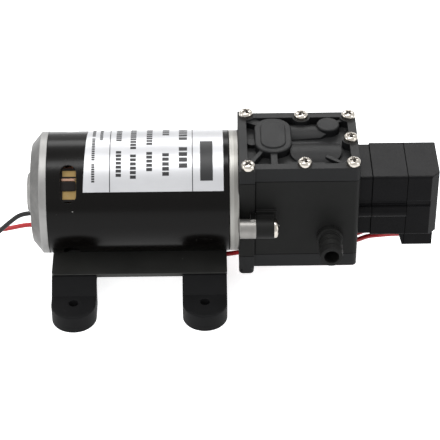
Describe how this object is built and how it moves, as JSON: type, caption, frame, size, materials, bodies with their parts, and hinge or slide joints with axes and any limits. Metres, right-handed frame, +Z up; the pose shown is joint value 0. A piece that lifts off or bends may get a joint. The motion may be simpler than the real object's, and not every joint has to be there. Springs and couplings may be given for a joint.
{
  "type": "diaphragm pump",
  "caption": "Electric diaphragm water pump on rubber foot bars: round motor, two-sided pump head with side hose tails, pressure switch on its end and coiled leads.",
  "frame": {"origin": "on the floor under the feet, in the middle of the four foot holes", "axes": "+X along the motor's shaft from the motor to the pressure switch, +Y across to the outlet hose tail, +Z up"},
  "size_m": [0.2651, 0.1064, 0.0787],
  "materials": {
    "painted_can": "black gloss enamel",
    "painted_plate": "black satin paint",
    "cast_alloy": "fine blasted casting",
    "turned_alloy": "turned, brushed",
    "foot_rubber": "matt moulded rubber",
    "seal_rubber": "smooth rubber",
    "head_plastic": "moulded, fine texture",
    "tail_plastic": "moulded, satin",
    "switch_plastic": "moulded, satin",
    "nickel_steel": "bright nickel plate",
    "zinc_steel": "zinc plate",
    "black_steel": "black oxide",
    "ground_steel": "ground",
    "lamination_steel": "stacked laminations, varnished",
    "spring_steel": "drawn wire",
    "copper_wire": "enamelled copper",
    "copper_bars": "turned copper",
    "brass_strip": "rolled brass",
    "ferrite": "sintered, matt",
    "carbon": "pressed carbon",
    "phenolic": "laminated sheet",
    "sintered_bronze": "sintered bronze",
    "nylon": "moulded nylon",
    "stainless": "pressed stainless",
    "red_button": "moulded",
    "black_lead": "smooth insulation",
    "red_lead": "smooth insulation",
    "tinned_strand": "tinned copper strand",
    "tie_plastic": "moulded nylon"
  },
  "bodies": {
    "pump": {"rear_foot_bar": "foot_rubber", "front_foot_bar": "foot_rubber", "mounting_plate": "painted_plate", "plate_screws": "zinc_steel", "motor_tube": "painted_can", "motor_end_cap": "cast_alloy", "motor_flange": "turned_alloy", "lead_grommets": "seal_rubber", "rear_bush": "sintered_bronze", "front_bearing": "ground_steel", "magnets": "ferrite", "brush_plate": "phenolic", "brush_holders": "brass_strip", "carbon_brushes": "carbon", "brush_springs": "spring_steel", "head_housing": "head_plastic", "top_cover": "head_plastic", "bottom_cover": "head_plastic", "top_cover_screws": "nickel_steel", "bottom_cover_screws": "nickel_steel", "flange_bolts": "nickel_steel", "inlet_hose_tail": "tail_plastic", "outlet_hose_tail": "tail_plastic", "port_seals": "seal_rubber", "valve_plates": "nylon", "valves": "seal_rubber", "diaphragms": "seal_rubber", "switch_flange": "switch_plastic", "switch_body": "switch_plastic", "switch_cap": "switch_plastic", "switch_diaphragm": "seal_rubber", "switch_spring": "spring_steel", "microswitch": "switch_plastic", "terminal_block": "switch_plastic", "switch_terminals": "brass_strip", "switch_screws": "zinc_steel", "black_lead_run": "black_lead", "black_lead_coil": "black_lead", "red_lead_run": "red_lead", "red_lead_coil": "red_lead", "switch_feed_lead": "red_lead", "motor_feed_lead": "red_lead", "lead_tips": "tinned_strand", "coil_tie": "tie_plastic"},
    "rotor": {"motor_shaft": "ground_steel", "armature_core": "lamination_steel", "armature_windings": "copper_wire", "commutator": "copper_bars", "eccentric": "ground_steel", "eccentric_screw": "black_steel"},
    "rod": {"yoke": "nylon", "eccentric_bearing": "ground_steel", "diaphragm_retainers": "stainless", "retainer_screws": "stainless"},
    "plunger": {"switch_plunger": "nylon"},
    "button": {"microswitch_button": "red_button"},
    "seat": {"spring_seat": "brass_strip"},
    "adjuster": {"adjusting_screw": "black_steel"}
  },
  "joints": [
    {"name": "rotor_spin", "type": "hinge", "parent": "pump", "child": "rotor", "pos_m": [0, 0, 0.046], "axis": [1, 0, 0], "continuous": true},
    {"name": "rod_orbit", "type": "hinge", "parent": "rotor", "child": "rod", "pos_m": [0.0784, 0.0015, 0.046], "axis": [1, 0, 0], "continuous": true, "deforming": ["diaphragms"]},
    {"name": "plunger_slide", "type": "slide", "parent": "pump", "child": "plunger", "axis": [1, 0, 0], "range_m": [0, 0.001], "stiffness_N_per_m": 1500, "deforming": ["switch_spring"]},
    {"name": "button_slide", "type": "slide", "parent": "pump", "child": "button", "axis": [1, 0, 0], "range_m": [0, 0.001]},
    {"name": "seat_slide", "type": "slide", "parent": "pump", "child": "seat", "axis": [1, 0, 0], "range_m": [-0.0005, 0.0005]},
    {"name": "adjuster_turn", "type": "hinge", "parent": "seat", "child": "adjuster", "pos_m": [0.14, 0, 0.046], "axis": [1, 0, 0], "range_deg": [-180, 180]}
  ],
  "couplings": [
    {"joint": "rod_orbit", "follows": "rotor_spin", "ratio": -1},
    {"joint": "button_slide", "follows": "plunger_slide", "ratio": 1},
    {"joint": "adjuster_turn", "follows": "seat_slide", "rad_per_m": 6283.2}
  ]
}
